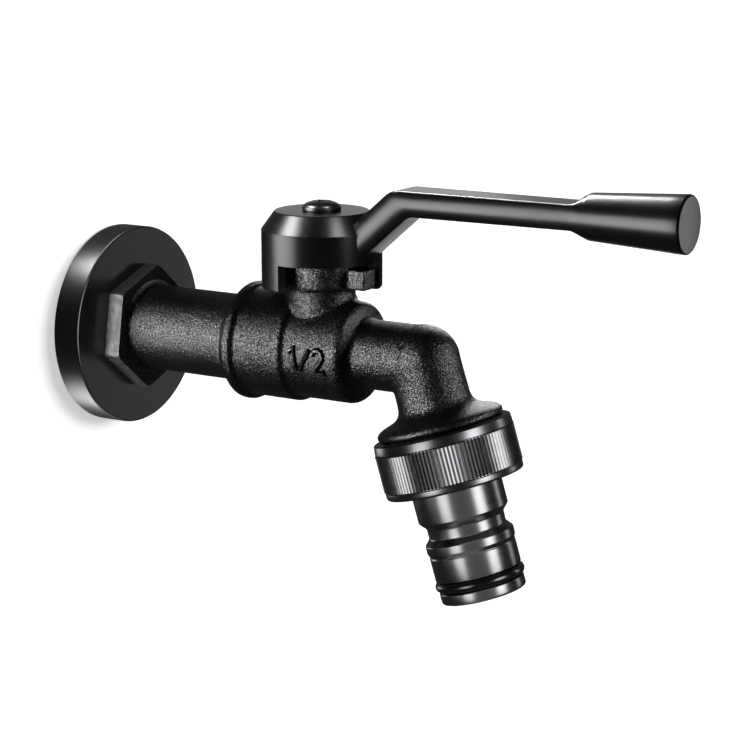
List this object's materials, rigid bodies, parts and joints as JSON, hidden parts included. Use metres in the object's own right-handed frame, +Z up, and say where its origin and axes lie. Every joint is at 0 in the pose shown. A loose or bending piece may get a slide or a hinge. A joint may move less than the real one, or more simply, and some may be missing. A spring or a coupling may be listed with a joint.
{
  "type": "lever ball valve bib tap",
  "caption": "Wall-mounted garden tap with a quarter-turn lever, hexagon tailpiece, tilted spout, knurled union nut and quick-connect hose nipple.",
  "frame": {"origin": "centre of the wall flange's back face, on the inlet axis", "axes": "+Z up, +Y into the wall along the inlet thread, the tap projects along -Y"},
  "size_m": [0.048, 0.159, 0.0968],
  "materials": {
    "gloss_black": "gloss black coating",
    "cast_black": "matt black coating over a grained casting",
    "satin_black": "satin black coating",
    "nut_black": "satin black coating, knurled",
    "dark_chrome": "dark polished plating",
    "ball_chrome": "polished",
    "stem_brass": "machined",
    "seat_plastic": "plain white plastic",
    "rubber": "plain black rubber"
  },
  "bodies": {
    "tap": {"wall_flange": "gloss_black", "inlet_tailpiece": "cast_black", "tail_seal_ring": "rubber", "valve_body": "cast_black", "rear_seat": "seat_plastic", "front_seat": "seat_plastic"},
    "lever": {"lever_handle": "satin_black", "handle_screw": "gloss_black", "valve_stem": "stem_brass", "stem_washer": "seat_plastic", "stem_o_ring_lower": "rubber", "stem_o_ring_upper": "rubber", "valve_ball": "ball_chrome"},
    "nipple": {"hose_nipple": "dark_chrome", "nipple_o_ring": "rubber", "outlet_washer": "rubber"},
    "nut": {"union_nut": "nut_black"}
  },
  "joints": [
    {"name": "lever_turn", "type": "hinge", "parent": "tap", "child": "lever", "pos_m": [0, -0.06, 0], "axis": [0, 0, 1], "range_deg": [0, 90]},
    {"name": "nipple_draw", "type": "slide", "parent": "tap", "child": "nipple", "axis": [0, -0.2957, -0.9553], "range_m": [0, 0.00544]},
    {"name": "nut_turn", "type": "hinge", "parent": "nipple", "child": "nut", "pos_m": [0, -0.0869, 0], "axis": [0, -0.2957, -0.9553], "range_deg": [0, 1080]}
  ],
  "couplings": [
    {"joint": "nipple_draw", "follows": "nut_turn", "m_per_rad": 0.00028871}
  ]
}
